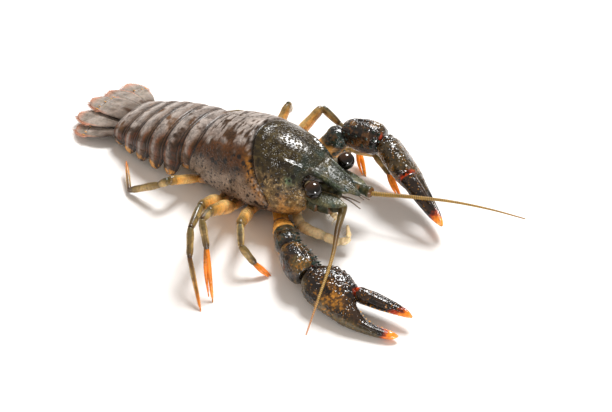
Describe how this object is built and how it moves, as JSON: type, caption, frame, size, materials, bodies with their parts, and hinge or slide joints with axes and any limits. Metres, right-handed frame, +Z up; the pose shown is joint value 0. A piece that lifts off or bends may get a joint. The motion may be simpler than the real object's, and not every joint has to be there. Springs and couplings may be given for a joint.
{
  "type": "stone crayfish model",
  "caption": "Still life-size crayfish: jointed shell body with tail fan, stalked eyes, long feelers, two large claws held forward and walking legs on the floor.",
  "frame": {"origin": "bottom centre of the bounding box, on the floor", "axes": "+Y towards the tail, +X to the animal's left, +Z up"},
  "size_m": [0.0674, 0.1172, 0.02],
  "materials": {
    "shell": "wet-looking olive-brown shell, glossy on the back, mottled and spotted on the sides",
    "shell_dark": "dark teal-green shell with paler edges, glossy",
    "tail_fan": "satin grey-brown plates with orange-pink margins",
    "claw": "dark green to ochre-brown, granular, with strong highlights; orange finger tips",
    "limb": "yellow-orange thighs, olive shanks and orange tips, satin",
    "feeler": "ringed gold and dark brown, satin",
    "belly": "pale tan, satin",
    "eye": "glossy black"
  },
  "bodies": {
    "root": {"abdomen_segment_1": "shell", "abdomen_segment_2": "shell", "abdomen_segment_3": "shell", "abdomen_segment_4": "shell", "abdomen_segment_5": "shell", "abdomen_segment_6": "shell", "antenna_base_left": "shell_dark", "antenna_base_right": "shell_dark", "antenna_left": "feeler", "antenna_right": "feeler", "antennal_scale_left": "shell_dark", "antennal_scale_right": "shell_dark", "antennule_left": "feeler", "antennule_right": "feeler", "carapace": "shell", "cheliped_left_carpus": "claw", "cheliped_left_dactyl": "claw", "cheliped_left_ischium": "limb", "cheliped_left_merus": "claw", "cheliped_left_propodus": "claw", "cheliped_right_carpus": "claw", "cheliped_right_dactyl": "claw", "cheliped_right_ischium": "limb", "cheliped_right_merus": "claw", "cheliped_right_propodus": "claw", "eye_left": "eye", "eye_right": "eye", "eyestalk_left": "shell_dark", "eyestalk_right": "shell_dark", "leg_2_left_lower": "limb", "leg_2_left_upper": "limb", "leg_2_right_lower": "limb", "leg_2_right_upper": "limb", "leg_3_left_lower": "limb", "leg_3_left_upper": "limb", "leg_3_right_lower": "limb", "leg_3_right_upper": "limb", "leg_4_left_lower": "limb", "leg_4_left_upper": "limb", "leg_4_right_lower": "limb", "leg_4_right_upper": "limb", "leg_5_left_lower": "limb", "leg_5_left_upper": "limb", "leg_5_right_lower": "limb", "leg_5_right_upper": "limb", "maxilliped_left": "belly", "maxilliped_right": "belly", "telson": "tail_fan", "thorax_underside": "belly", "uropod_inner_left": "tail_fan", "uropod_inner_right": "tail_fan", "uropod_outer_left": "tail_fan", "uropod_outer_right": "tail_fan"}
  },
  "joints": []
}
